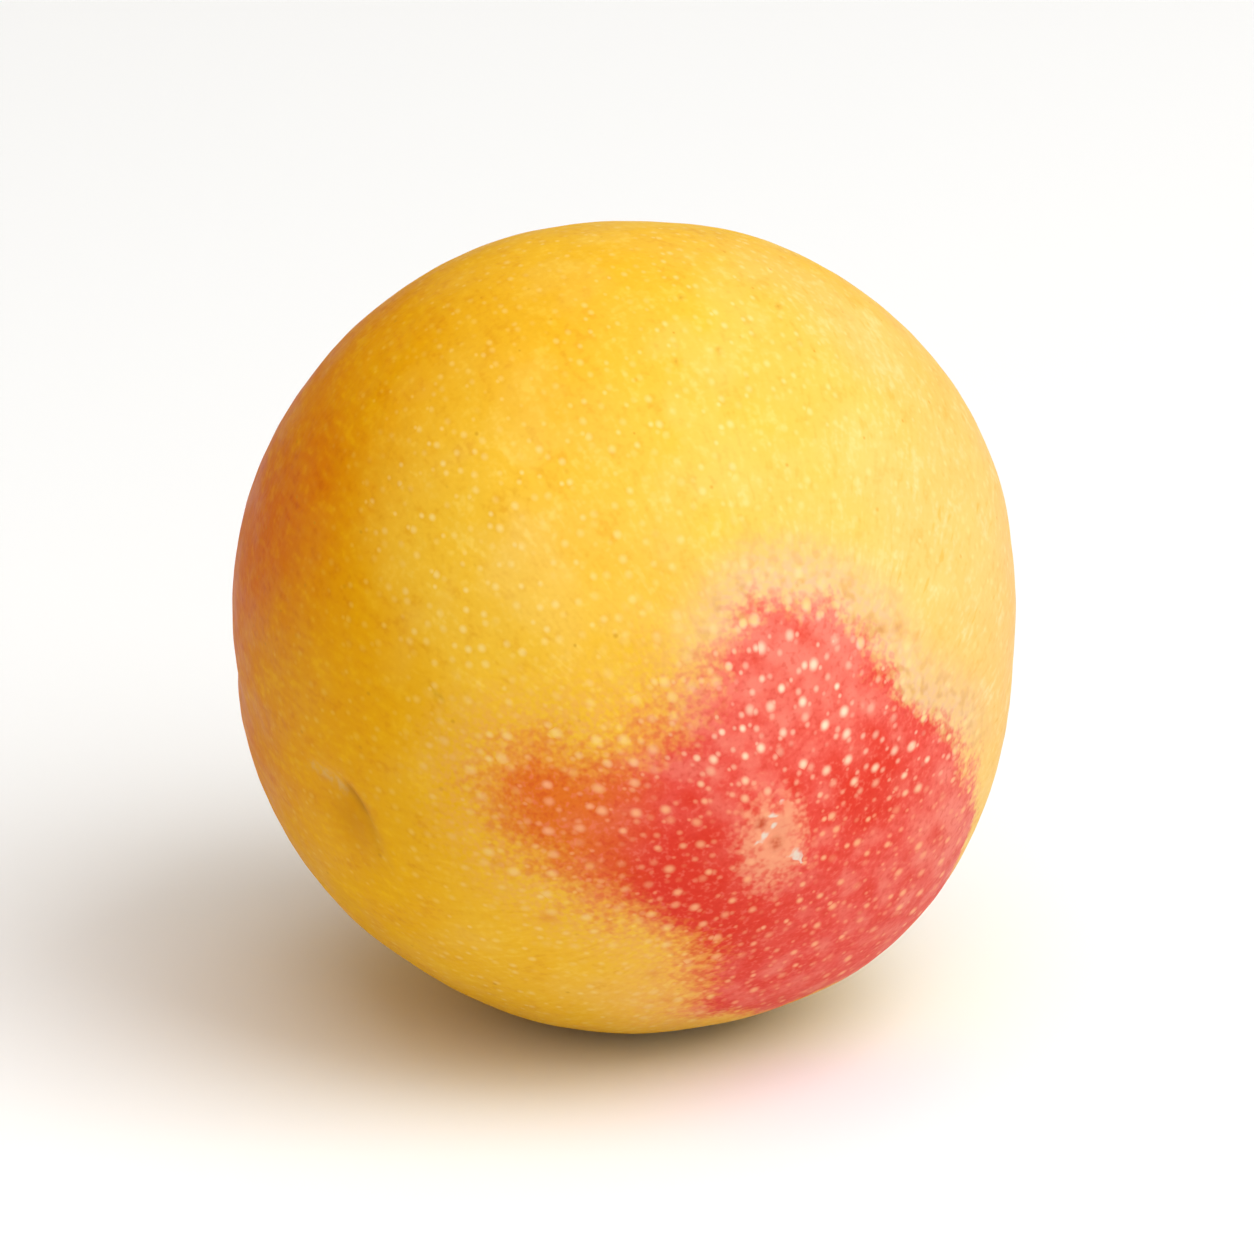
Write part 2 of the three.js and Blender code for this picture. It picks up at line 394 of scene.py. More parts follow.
class Skin:
    """Where each point of the skin is, seen from the fruit's middle, in the fruit's own axes."""

    def __init__(self, along):
        self.along = along
        self.from_stem = np.degrees(np.arccos(np.clip(-along[:, 2], -1, 1)))
        self.from_blossom = 180 - self.from_stem
        self.longitude = np.arctan2(along[:, 1], along[:, 0])
        self.body = self.body_radius()

    def toward(self, yaw, up, spread):
        """How near a point is to a direction given as the fruit lies, 1 there and 0 far off."""
        aim = pointing(yaw, up) @ AXES
        return bell(np.degrees(np.arccos(np.clip(self.along @ aim, -1, 1))), spread)

    def body_radius(self):
        plain = self.along / (HALF_SEAM_WIDTH, HALF_CHEEK_WIDTH, HALF_LENGTH)
        swell = sum(rise * self.toward(yaw, up, spread) for yaw, up, rise, spread in SWELLS)
        return 1 / np.linalg.norm(plain, axis=1) + swell

    def from_axis(self):
        """The distance from the line through both ends."""
        return self.body * np.sin(np.radians(self.from_stem))

    def map_from(self, angle):
        """The skin laid flat round one end, in millimetres: towards the seam and the cheek."""
        reach = SKIN_RADIUS * np.radians(angle)
        return np.column_stack([reach * np.cos(self.longitude), reach * np.sin(self.longitude)])

    def reach(self):
        """The distance from the blossom scar along the skin."""
        return SKIN_RADIUS * np.radians(self.from_blossom)

    def dot_map(self):
        """The map round the blossom scar, drawn in more and more as it goes outwards."""
        shrink = (1 + self.reach() / DOT_SPREAD) ** DOT_STRETCH
        return self.map_from(self.from_blossom) / shrink[:, None]

    def ray_map(self):
        """Places for streaks that run from end to end: two round the fruit and one along it."""
        round_about = STREAKS_ROUND / (2 * np.pi)
        ways = np.column_stack([np.cos(self.longitude), np.sin(self.longitude)]) * round_about
        return np.column_stack([ways, self.reach() / STREAK_LENGTH])

    def spot(self, left, down, spread):
        """How near a point is to a place on the map round the blossom scar, 1 there, 0 far off."""
        flat = self.map_from(self.from_blossom) - (left, down)
        return bell(np.linalg.norm(flat, axis=1), spread)

    def marks(self, places):
        """1 in the middle of each of the marks, which are given by place and size, 0 outside."""
        spots = [self.spot(left, down, MARK_SPREAD * size) for left, down, size in places]
        return np.max(spots, axis=0)

    def aside(self):
        """The distance from the seam along the skin."""
        return self.from_axis() * self.longitude

    def seam_share(self):
        """How full the seam is, from 0 to 1."""
        fade = 1 - smooth(self.from_stem, SEAM_FADE, SEAM_END)
        facing = np.maximum(np.cos(self.longitude), 0) ** 2
        return smooth(self.from_stem, 0, SEAM_START) * fade * facing

    def crease_place(self):
        """The distance along the crease from its middle, and across it."""
        ahead = self.body * np.radians(CREASE_ANGLE - self.from_blossom)
        aside = self.body * math.sin(math.radians(CREASE_ANGLE)) * self.longitude
        turn = math.radians(CREASE_TURN)
        along = ahead * math.cos(turn) + aside * math.sin(turn)
        bow = CREASE_BOW * (0.5 - (2 * along / CREASE_LENGTH) ** 2)
        return along, aside * math.cos(turn) - ahead * math.sin(turn) + bow


def stem_end(skin):
    """The shoulders, the funnel of the cavity and the stalk scar at its bottom."""
    oval = 1 + CAVITY_OVAL * np.cos(2 * skin.longitude)
    shoulder = SHOULDER_RISE * bell(skin.from_stem - SHOULDER_ANGLE, SHOULDER_SPREAD)
    funnel = CAVITY_DEPTH * bell(skin.from_stem, CAVITY_SPREAD * oval)
    scar = SCAR_HEIGHT * (1 - smooth(skin.from_axis() / SCAR_RADIUS, *SCAR_EDGE))
    pit = SCAR_PIT_DEPTH * (1 - smooth(skin.from_axis() / SCAR_PIT_RADIUS, *SCAR_PIT_EDGE))
    return np.where(skin.from_stem > 90, shoulder, shoulder - funnel + scar - pit)


def blossom_end(skin):
    """A blunt point with a small pit."""
    out = skin.body * np.radians(skin.from_blossom)
    pit = TIP_PIT_DEPTH * bell(out, TIP_PIT_RADIUS)
    return TIP_RISE * bell(skin.from_blossom, TIP_SPREAD) - pit


def seam(skin):
    """A groove in a wider valley."""
    groove = SEAM_DEPTH * bell(skin.aside(), SEAM_HALF_WIDTH)
    valley = VALLEY_DEPTH * bell(skin.aside(), VALLEY_HALF_WIDTH)
    return -skin.seam_share() * (groove + valley)


def crease(skin):
    """A short bowed groove with a raised lip above it and a dent below."""
    along, across = skin.crease_place()
    groove = CREASE_DEPTH * bell(across, CREASE_HALF_WIDTH)
    lip = CREASE_LIP_HEIGHT * bell(across - CREASE_LIP_OFFSET, CREASE_LIP_HALF_WIDTH)
    dent = CREASE_DENT_DEPTH * bell(across - CREASE_DENT_OFFSET, CREASE_DENT_HALF_WIDTH)
    return bell(along, CREASE_LENGTH / 2) * (lip - groove - dent)


def waves(own, length, seed):
    """A sum of waves that run in random directions: 0 on the whole, and mostly from -1 to 1."""
    random = np.random.default_rng(seed)
    ways = random.normal(size=(WAVES, 3))
    ways *= 2 * np.pi / length / np.linalg.norm(ways, axis=1)[:, None]
    starts = random.uniform(0, 2 * np.pi, WAVES)
    return np.cos(own @ ways.T + starts).sum(axis=1) * math.sqrt(2 / WAVES)


def clouds(own, size, height, seed):
    """Cloudy values, mostly from -height to height, with lumps about as large as size."""
    return height * sum(
        share * waves(own, LUMP_LENGTH * size * length, seed + number)
        for number, (length, share) in enumerate(CLOUD_LAYERS)
    )


def unevenness(own):
    return sum(
        height * waves(own, length, UNEVENNESS_SEED + number)
        for number, (length, height) in enumerate(UNEVENNESS)
    )


def line_distance(points, start, end):
    """The distance from each flat point to the line between two places."""
    step = np.subtract(end, start)
    share = np.clip((points - start) @ step / (step @ step), 0, 1)
    return np.linalg.norm(points - start - share[:, None] * step, axis=1)


def edge_distance(points, edge):
    """The distance from each flat point to a closed outline, above 0 inside it."""
    corners = np.array(edge, float)
    nearest = np.full(len(points), np.inf)
    inside = np.zeros(len(points), bool)
    for start, end in zip(corners, np.roll(corners, -1, axis=0)):
        nearest = np.minimum(nearest, line_distance(points, start, end))
        step = end - start
        if step[1] != 0:
            crosses = (start[1] > points[:, 1]) != (end[1] > points[:, 1])
            crossing = start[0] + step[0] * (points[:, 1] - start[1]) / step[1]
            inside ^= crosses & (points[:, 0] < crossing)
    return np.where(inside, nearest, -nearest)


def chart(place, number, count):
    """A place along a chart, 0 to 1, as a UV coordinate in a row of count charts."""
    return (number + CHART_EDGE + (1 - 2 * CHART_EDGE) * place) / count


def cube_grid():
    """A cube's surface as a grid: unit directions, quads of point numbers, and each quad's UVs."""
    n = CELLS
    steps = np.arange(n)
    first, second = (a.ravel() for a in np.meshgrid(steps, steps, indexing="ij"))
    keys, uvs = [], []
    for number, (axis, side) in enumerate((a, s) for a in range(3) for s in (0, 1)):
        across, up = (axis + 1) % 3, (axis + 2) % 3
        if side == 0:
            across, up = up, across
        column, row = number % 3, number // 3
        for shift_across, shift_up in ((0, 0), (1, 0), (1, 1), (0, 1)):
            place = np.zeros((n * n, 3), int)
            place[:, axis] = n * side
            place[:, across] = first + shift_across
            place[:, up] = second + shift_up
            keys.append((place[:, 0] * (n + 1) + place[:, 1]) * (n + 1) + place[:, 2])
            u = chart((first + shift_across) / n, column, 3)
            v = chart((second + shift_up) / n, row, 2)
            uvs.append(np.column_stack([u, v]))

    # Points on the cube's edges belong to two or three faces. Each is kept once
    used, numbers = np.unique(np.concatenate(keys), return_inverse=True)
    quads = numbers.reshape(6, 4, n * n).transpose(0, 2, 1).reshape(-1, 4)
    uvs = np.array(uvs).reshape(6, 4, n * n, 2).transpose(0, 2, 1, 3).reshape(-1, 2)

    # The lattice of the cube blown up to a ball, with even angles drawn in towards the middles
    t = np.linspace(-1, 1, n + 1)
    spread = np.tan(np.pi / 4 * (t - CROWDING * np.sin(np.pi * t) / np.pi))
    lattice = np.column_stack([used // (n + 1) ** 2, used // (n + 1) % (n + 1), used % (n + 1)])
    along = spread[lattice]
    return along / np.linalg.norm(along, axis=1)[:, None], quads, uvs


def set_field(mesh, name, values):
    """Stores a number or a vector for each point of the mesh, for the material to read."""
    values = np.asarray(values, np.float32)
    if values.ndim == 1:
        mesh.attributes.new(name, "FLOAT", "POINT").data.foreach_set("value", values)
        return
    vectors = np.zeros((len(values), 3), np.float32)
    vectors[:, :values.shape[1]] = values
    field = mesh.attributes.new(name, "FLOAT_VECTOR", "POINT")
    field.data.foreach_set("vector", vectors.ravel())


def set_places(mesh, skin, own):
    """Stores where each point is, in the ways that the material's fine patterns need."""
    set_field(mesh, "own_place", own)
    set_field(mesh, "blossom_map", skin.map_from(skin.from_blossom))
    set_field(mesh, "stem_map", skin.map_from(skin.from_stem))
    set_field(mesh, "dot_map", skin.dot_map())
    set_field(mesh, "ray_map", skin.ray_map())
    set_field(mesh, "from_stem", skin.from_stem)


def set_ground_tones(mesh, skin, own):
    """Stores how much each point has of each tone of the golden skin, painted sheen and shade among
    them.
    """
    # Painted shade: deeper gold on the left, where less light falls, weaker in one patch
    shaded = skin.toward(*SHADED_SIDE) - WEAKER_SHADE_SHARE * skin.spot(*WEAKER_SHADE_PATCH)
    shaded = smooth(shaded + clouds(own, size=8.0, height=0.03, seed=21), 0.12, 0.64)
    # Painted sheen of the key light on the right, and painted bounce light under the blush
    pale = skin.toward(*LIT_SIDE) + BOUNCE_LIGHT_SHARE * skin.spot(*BOUNCE_LIGHT_PATCH)
    pale = smooth(pale + clouds(own, size=8.0, height=0.06, seed=11), 0, 1)
    # Partly the skin's own orange, partly painted shade and orange light thrown back by
    # neighbouring fruit
    amber = skin.toward(*AMBER_AND_SHADE_SIDE) * (1 + clouds(own, size=9.0, height=0.08, seed=31))
    flush = skin.toward(*FLUSH_SIDE) * (1 + clouds(own, size=5.0, height=0.3, seed=91))
    haze = smooth(clouds(own, size=5.0, height=1.0, seed=41), 0.2, 1.8)
    set_field(mesh, "shaded_side", shaded)
    set_field(mesh, "lit_side", pale)
    set_field(mesh, "amber_and_shade_side", smooth(amber, 0.08, 1))
    set_field(mesh, "flush_side", flush)
    set_field(mesh, "haze", haze * (HAZE_SHARE - HAZE_SHADED_LOSS * shaded))
    set_field(mesh, "mottle", clouds(own, size=2.2, height=1.0, seed=51))


def set_blush_tones(mesh, skin, own):
    """Stores how deep in the blush each point is, and the tones in it and round it.

    The two numbers of each smooth step are millimetres on the map: where it starts and where it
    is whole.
    """
    left, down = skin.map_from(skin.from_blossom).T
    depth = edge_distance(np.column_stack([left, down]), BLUSH_EDGE)
    blotches = clouds(own, size=1.6, height=0.3, seed=81)

    # The edge is cloudy, and softer on the left than on the right
    set_field(mesh, "blush_depth", depth + clouds(own, size=3.2, height=0.45, seed=61))
    set_field(mesh, "soft_edge", smooth(left, -3, 6))

    # The golden skin round it is beige on the right and above, and warmer on the left
    fringe = smooth(depth, -5.5, -0.8) * smooth(left, 8, -1) * smooth(down, 6, -3)
    set_field(mesh, "near_blush", smooth(depth, -9, -1))
    set_field(mesh, "fringe", fringe)
    set_field(mesh, "warm_edge", smooth(depth, -8.0, -1.0) * smooth(left, 0, 8))

    # The red is deeper or lighter in places, turns orange on the left, and has paler dots above.
    # Its lighter places are partly its own and partly a painted highlight on its lit right
    deep = sum(skin.spot(*s) for s in DEEP_SPOTS) + np.maximum(DEEP_BLOTCH_SHARE * blotches, 0)
    light = sum(skin.spot(*s) for s in HIGHLIGHT_SPOTS) + np.maximum(-blotches, 0)
    set_field(mesh, "deep_red", np.minimum(deep, 1))
    set_field(mesh, "light_red_and_highlight", np.minimum(light, 1))
    set_field(mesh, "orange_red", smooth(left - 0.3 * down + blotches, 7, 15))
    set_field(mesh, "cream_dots", smooth(down + 0.4 * left, 0, -8))


def set_marks(mesh, skin):
    """Stores the marks that are large enough for the mesh: 1 in the middle of a mark, 0 outside."""
    set_field(mesh, "seam_line", skin.seam_share() * bell(skin.aside(), SEAM_HALF_WIDTH))
    set_field(mesh, "scar_out", skin.from_axis() / SCAR_RADIUS)
    set_field(mesh, "scar_pits", skin.marks(BLOSSOM_SCAR_PITS))
    for name, (_, _, places) in SMALL_MARKS.items():
        set_field(mesh, name, skin.marks(places))

    # The crease's painted shade: a dark line under its lip, and the dent below it
    place = np.column_stack(skin.crease_place())
    line = bell(line_distance(place, *CREASE_LINE), CREASE_LINE_SPREAD)
    line_end = bell(line_distance(place, *CREASE_LINE_END), CREASE_LINE_END_SPREAD)
    healed = bell(line_distance(place, *CREASE_HEALED), CREASE_HEALED_SPREAD)
    dent_shade = bell(np.linalg.norm(place - CREASE_DENT_SHADE, axis=1), CREASE_DENT_SHADE_SPREAD)
    set_field(mesh, "crease_shadow_line", np.maximum(line, CREASE_LINE_END_SHARE * line_end))
    set_field(mesh, "crease_healed", healed)
    set_field(mesh, "crease_dent_shade", dent_shade)


def grid_mesh(name, points, quads, uvs):
    """A smooth mesh in metres from points in millimetres."""
    mesh = bpy.data.meshes.new(name)
    mesh.vertices.add(len(points))
    mesh.vertices.foreach_set("co", (points * MM).ravel())
    mesh.loops.add(quads.size)
    mesh.loops.foreach_set("vertex_index", quads.ravel())
    mesh.polygons.add(len(quads))
    mesh.polygons.foreach_set("loop_start", np.arange(0, quads.size, 4))
    mesh.polygons.foreach_set("use_smooth", np.ones(len(quads), bool))
    mesh.update(calc_edges=True)
    mesh.uv_layers.new(name="OFBake").data.foreach_set("uv", uvs.ravel())
    mesh.validate()
    return mesh


def packed_height():
    """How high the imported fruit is, in millimetres."""
    _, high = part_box("plumcot")
    return high[2] / MM


def lay_down(own):
    """Turns points in the fruit's own axes as it lies, and presses a small flat at the table."""
    points = own @ AXES.T
    points[:, 2] += packed_height() - points[:, 2].max()
    points[:, 2] = np.maximum(points[:, 2], 0)
    return points


def make_skin():
    along, quads, uvs = cube_grid()
    skin = Skin(along)
    radius = skin.body + stem_end(skin) + blossom_end(skin) + seam(skin) + crease(skin)
    radius += unevenness(along * radius[:, None])
    own = along * radius[:, None]

    mesh = grid_mesh("plumcot_skin", lay_down(own), quads, uvs)
    set_places(mesh, skin, own)
    set_ground_tones(mesh, skin, own)
    set_blush_tones(mesh, skin, own)
    set_marks(mesh, skin)
    mesh.materials.append(skin_material())

    piece = bpy.data.objects.new("plumcot_skin", mesh)
    bpy.context.collection.objects.link(piece)
    return piece


def tint(seen):
    """A colour as seen on a screen, 0 to 255, as the linear colour that nodes take."""
    shares = np.array(seen) / 255
    linear = np.where(shares <= 0.04045, shares / 12.92, ((shares + 0.055) / 1.055) ** 2.4)
    return (*(linear / SKIN_LIGHT), 1.0)


class Shade:
    """Makes the nodes of one tree. Each call adds nodes and returns the last one's output."""

    def __init__(self, tree):
        self.tree = tree
        self.tree.nodes.clear()

    def node(self, kind, inputs, **settings):
        """Adds a node with its settings, and sets or links its inputs. Returns the node itself."""
        made = self.tree.nodes.new(kind)
        for name, value in settings.items():
            setattr(made, name, value)
        for key, value in inputs.items():
            if isinstance(value, bpy.types.NodeSocket):
                self.tree.links.new(value, made.inputs[key])
            else:
                made.inputs[key].default_value = value
        return made

    def field(self, name, output="Fac"):
        """A value that is stored on the mesh. A vector's output is Vector."""
        return self.node("ShaderNodeAttribute", {}, attribute_name=name).outputs[output]

    def number(self, operation, *values):
        inputs = dict(enumerate(values))
        return self.node("ShaderNodeMath", inputs, operation=operation).outputs[0]

    def vector(self, operation, *values):
        inputs = dict(enumerate(values))
        return self.node("ShaderNodeVectorMath", inputs, operation=operation).outputs["Vector"]

    def sum(self, a, b):
        return self.number("ADD", a, b)

    def times(self, a, b):
        return self.number("MULTIPLY", a, b)

    def most(self, a, b):
        return self.number("MAXIMUM", a, b)

    def ease(self, value, span, result=(0.0, 1.0)):
        """Goes smoothly from the first result to the last as value crosses the span."""
        inputs = {
            "Value": value,
            "From Min": span[0],
            "From Max": span[1],
            "To Min": result[0],
            "To Max": result[1],
        }
        made = self.node("ShaderNodeMapRange", inputs, interpolation_type="SMOOTHSTEP")
        return made.outputs["Result"]

    def mix(self, share, a, b):
        """A colour, from a at share 0 to b at share 1."""
        made = self.node("ShaderNodeMix", {0: share, 6: a, 7: b}, data_type="RGBA")
        return made.outputs[2]

    def shifted(self, where, seed):
        """Another part of the same texture space."""
        return self.vector("ADD", where, tuple(step * seed for step in SEED_STEP))

    def noise(self, where, size, detail, seed):
        """Cloudy noise from 0 to 1, mostly 0.3 to 0.7, with lumps about as large as size."""
        place = self.shifted(where, seed)
        inputs = {
            "Vector": place,
            "Scale": 1 / size,
            "Detail": detail,
            "Roughness": NOISE_ROUGHNESS,
        }
        return self.node("ShaderNodeTexNoise", inputs, noise_dimensions="3D").outputs["Fac"]

    def dots(self, where, spacing, size, seed):
        """Scattered soft dots: up to 1 in their middles and 0 between them, of mixed sizes."""
        inputs = {
            "Vector": self.shifted(where, seed),
            "Scale": 1 / spacing,
            "Randomness": DOT_IRREGULARITY,
        }
        cell = self.node("ShaderNodeTexVoronoi", inputs, voronoi_dimensions="2D").outputs
        chances = self.node("ShaderNodeSeparateColor", {0: cell["Color"]}).outputs
        sizes = [share * size / spacing for share in DOT_SIZES]
        radius = self.ease(chances[0], (0.0, 1.0), sizes)
        dot = self.ease(self.number("DIVIDE", cell["Distance"], radius), DOT_EDGE)
        return self.times(dot, self.ease(chances[1], (0.0, 0.8), DOT_STRENGTHS))

    def span(self, a, b):
        """The distance between two places."""
        made = self.node("ShaderNodeVectorMath", {0: a, 1: b}, operation="DISTANCE")
        return made.outputs["Value"]

    def line_span(self, flat, start, end):
        """The distance from a flat place to the line between two others."""
        step = Vector((*end, 0.0)) - Vector((*start, 0.0))
        from_start = self.vector("SUBTRACT", flat, (*start, 0.0))
        inputs = {0: from_start, 1: tuple(step / step.length_squared)}
        share = self.node("ShaderNodeVectorMath", inputs, operation="DOT_PRODUCT").outputs["Value"]
        share = self.node("ShaderNodeClamp", {0: share}).outputs[0]
        inputs = {0: tuple(step), "Scale": share}
        foot = self.node("ShaderNodeVectorMath", inputs, operation="SCALE").outputs["Vector"]
        return self.span(from_start, foot)

    def strokes(self, flat, lines, half_width):
        """1 along each listed line, fading to 0 at half_width from it."""
        total = 0.0
        for start, end in lines:
            apart = self.line_span(flat, start, end)
            total = self.most(total, self.ease(apart, (half_width, half_width * 0.3)))
        return total


def ground(shade, fine, streaks, pale, shaded, amber):
    """The ground's colours by side, painted sheen on one and painted shade on the other, with fine
    grain from their dark grade to their light one.
    """
    grades = []
    for gold, lemon, shaded_gold, amber_and_shade_tone in zip(GOLD, LIT_LEMON, SHADED_GOLD, AMBER_AND_SHADE):
        colour = shade.mix(pale, tint(gold), tint(lemon))
        colour = shade.mix(shaded, colour, tint(shaded_gold))
        grades.append(shade.mix(amber, colour, tint(amber_and_shade_tone)))
    dark, mild, light = grades
    grain = shade.ease(fine, (0.25, 0.75), (0.2, -0.2))
    grain = shade.sum(grain, shade.ease(streaks, (0.25, 0.75), (0.24, -0.24)))
    grain = shade.sum(grain, shade.times(shade.field("mottle"), 0.1))
    colour = shade.mix(shade.ease(grain, (0.0, -0.8), (0.0, 0.8)), mild, dark)
    return shade.mix(shade.ease(grain, (0.0, 0.8), (0.0, 0.8)), colour, light)


def hazes(shade, colour, streaks):
    """Wax bloom in patches, an orange flush on the side that lies away, and green at the stem."""
    colour = shade.mix(shade.field("haze"), colour, tint(WAX_HAZE))
    flush = shade.times(shade.field("flush_side"), shade.ease(streaks, (0.2, 0.8), (0.6, 1.4)))
    colour = shade.mix(shade.ease(flush, (0.1, 1.1), (0.0, 0.6)), colour, tint(ORANGE_FLUSH))
    ragged = shade.ease(streaks, (0.3, 0.7), GREEN_RING_SHIFT)
    ragged = shade.sum(shade.field("from_stem"), ragged)
    return shade.mix(shade.ease(ragged, GREEN_RING, (0.0, 0.5)), colour, tint(STEM_GREEN))


def end_map(shade):
    """The flat map of the nearer end, and a share that fades dots out where the map changes."""
    from_stem = shade.field("from_stem")
    front = shade.number("GREATER_THAN", from_stem, MAP_CHANGE)
    maps = {4: shade.field("stem_map", "Vector"), 5: shade.field("blossom_map", "Vector")}
    made = shade.node("ShaderNodeMix", {0: front, **maps}, data_type="VECTOR")
    apart = shade.number("ABSOLUTE", shade.sum(from_stem, -MAP_CHANGE))
    return made.outputs[1], shade.ease(apart, MAP_CHANGE_EDGE)


def pale_dots(shade, colour, flat, whole, pale, shaded, amber):
    """Dots, fainter on the lit and amber sides, deeper under the painted shade, and left out near
    the blush, which has its own.
    """
    share = shade.times(whole, shade.ease(shade.field("near_blush"), (1.0, 0.2)))
    share = shade.times(share, shade.ease(pale, (0.0, 1.0), (0.48, 0.3)))
    share = shade.times(share, shade.ease(amber, (0.0, 0.8), (1.0, 0.25)))
    share = shade.times(share, shade.ease(shade.field("mottle"), (1.2, -0.8), (0.5, 1.0)))
    share = shade.times(share, shade.dots(flat, spacing=1.35, size=0.27, seed=4.0))
    return shade.mix(share, colour, shade.mix(shaded, tint(PALE_DOT), tint(SHADED_DOT)))


def dashes_and_specks(shade, colour, streaks, flat, whole, pale):
    """Short darker dashes that run from end to end, most on the side with the painted sheen, and a
    few specks.
    """
    dashes = shade.ease(streaks, (0.62, 0.76))
    dashes = shade.times(dashes, shade.ease(pale, (0.0, 1.0), (0.05, 0.4)))
    dashes = shade.times(dashes, shade.ease(shade.field("mottle"), (-0.6, 0.9)))
    colour = shade.mix(dashes, colour, tint(DARK_DASH))
    specks = shade.times(shade.dots(flat, spacing=6.5, size=0.17, seed=15.0), whole)
    return shade.mix(shade.times(specks, SPECK_SHARE), colour, tint(DARK_SPECK))


def golden_skin(shade, fine):
    """The yellow skin: amber and painted shade on one side, a painted lemon sheen on the other,
    with its haze, dots and dashes.
    """
    streaks = shade.noise(shade.field("ray_map", "Vector"), size=1.0, detail=1.0, seed=3.0)
    pale, shaded, amber = (shade.field(name) for name in ("lit_side", "shaded_side", "amber_and_shade_side"))
    amber = shade.times(amber, shade.ease(streaks, (0.2, 0.8), (0.88, 1.12)))
    colour = ground(shade, fine, streaks, pale, shaded, amber)
    colour = hazes(shade, colour, streaks)
    flat, whole = end_map(shade)
    colour = pale_dots(shade, colour, flat, whole, pale, shaded, amber)
    return dashes_and_specks(shade, colour, streaks, flat, whole, pale)


def stalk_scar(shade, colour, rough):
    """The dry round scar where the stalk came off, with a dark middle and a torn corky rim, in a
    cavity whose bottom is olive: partly its own colour, partly painted shade.
    """
    reach = shade.sum(shade.field("scar_out"), shade.ease(rough, (0.3, 0.7), (-0.2, 0.2)))
    colour = shade.mix(shade.ease(reach, CAVITY_RING, (0.0, 0.55)), colour, tint(CAVITY_OLIVE_AND_SHADE))
    cork = shade.mix(shade.ease(rough, (0.35, 0.65)), tint(DARK_CORK), tint(LIGHT_CORK))
    colour = shade.mix(shade.ease(reach, CORK_RING), colour, cork)
    return shade.mix(shade.ease(reach, STALK_HOLE_RING, (0.0, 0.85)), colour, tint(STALK_HOLE))


def crease_marks(shade, colour, fine):
    """The crease: painted shadow in a dark line under its lip, pale healed skin above it and
    painted shade in the dent.
    """
    # Painted shade in the dent under the crease
    dent_shade = shade.times(shade.field("crease_dent_shade"), CREASE_DENT_SHADE_SHARE)
    colour = shade.mix(dent_shade, colour, tint(DENT_SHADE))
    healed = shade.times(shade.field("crease_healed"), shade.ease(fine, (0.35, 0.65), (0.2, 0.8)))
    colour = shade.mix(healed, colour, tint(HEALED_SKIN))
    line = shade.times(shade.field("crease_shadow_line"), CREASE_LINE_SHARE)
    return shade.mix(line, colour, tint(CREASE_SHADE))


def fringe_marks(shade, colour, place, fine, grain, dots):
    """Round the blush: warmer skin on the left, a beige stippled fringe on the right, and dots."""
    warm = shade.times(shade.field("warm_edge"), shade.ease(grain, (0.3, 0.7), (0.1, 0.7)))
    colour = shade.mix(warm, colour, tint(WARM_EDGE))
    fringe = shade.field("fringe")
    beige = shade.times(fringe, shade.ease(fine, (0.35, 0.65), (0.6, 1.0)))
    colour = shade.mix(beige, colour, tint(BEIGE_FRINGE))
    stipple = shade.noise(place, size=0.9, detail=1.0, seed=22.0)
    stipple = shade.times(fringe, shade.ease(stipple, (0.46, 0.7), (0.0, 0.6)))
    colour = shade.mix(stipple, colour, tint(FRINGE_STIPPLE))
    near = shade.times(shade.field("near_blush"), EDGE_DOT_SHARE)
    return shade.mix(shade.times(dots, near), colour, tint(EDGE_DOT))


def blush_share(shade, fine, dots):
    """How much blush there is: its edge is broken up by fine noise and by the dots."""
    soft = shade.field("soft_edge")
    stipple = shade.ease(fine, (0.25, 0.75), (-0.8, 0.8))
    stipple = shade.times(stipple, shade.ease(soft, (0.0, 1.0), (0.65, 1.0)))
    broken = shade.sum(stipple, shade.times(dots, BLUSH_DOT_NOTCH))
    depth = shade.sum(shade.field("blush_depth"), broken)
    start = shade.ease(soft, (0.0, 1.0), BLUSH_START)
    full = shade.ease(soft, (0.0, 1.0), BLUSH_FULL)
    return shade.ease(depth, (start, full))


def blush_red(shade, grain):
    """The red itself, with a fine grain, and lighter places that are partly its own and partly a
    painted highlight.
    """
    red = shade.mix(shade.field("light_red_and_highlight"), tint(CORAL), tint(LIGHT_CORAL_AND_HIGHLIGHT))
    red = shade.mix(shade.field("deep_red"), red, tint(DEEP_RED))
    red = shade.mix(shade.field("orange_red"), red, tint(ORANGE_RED))
    red = shade.mix(shade.ease(grain, (0.5, 0.75), (0.0, 0.35)), red, tint(DARK_GRAIN))
    return shade.mix(shade.ease(grain, (0.5, 0.25), (0.0, 0.35)), red, tint(LIGHT_GRAIN))


def blush(shade, colour, fine, grain, dots):
    """The blush with its dots, which are cream above and coral below."""
    share = blush_share(shade, fine, dots)
    colour = shade.mix(share, colour, blush_red(shade, grain))
    dot_colour = shade.mix(shade.field("cream_dots"), tint(CORAL_DOT), tint(CREAM_DOT))
    return shade.mix(shade.times(dots, shade.times(share, BLUSH_DOT_SHARE)), colour, dot_colour)


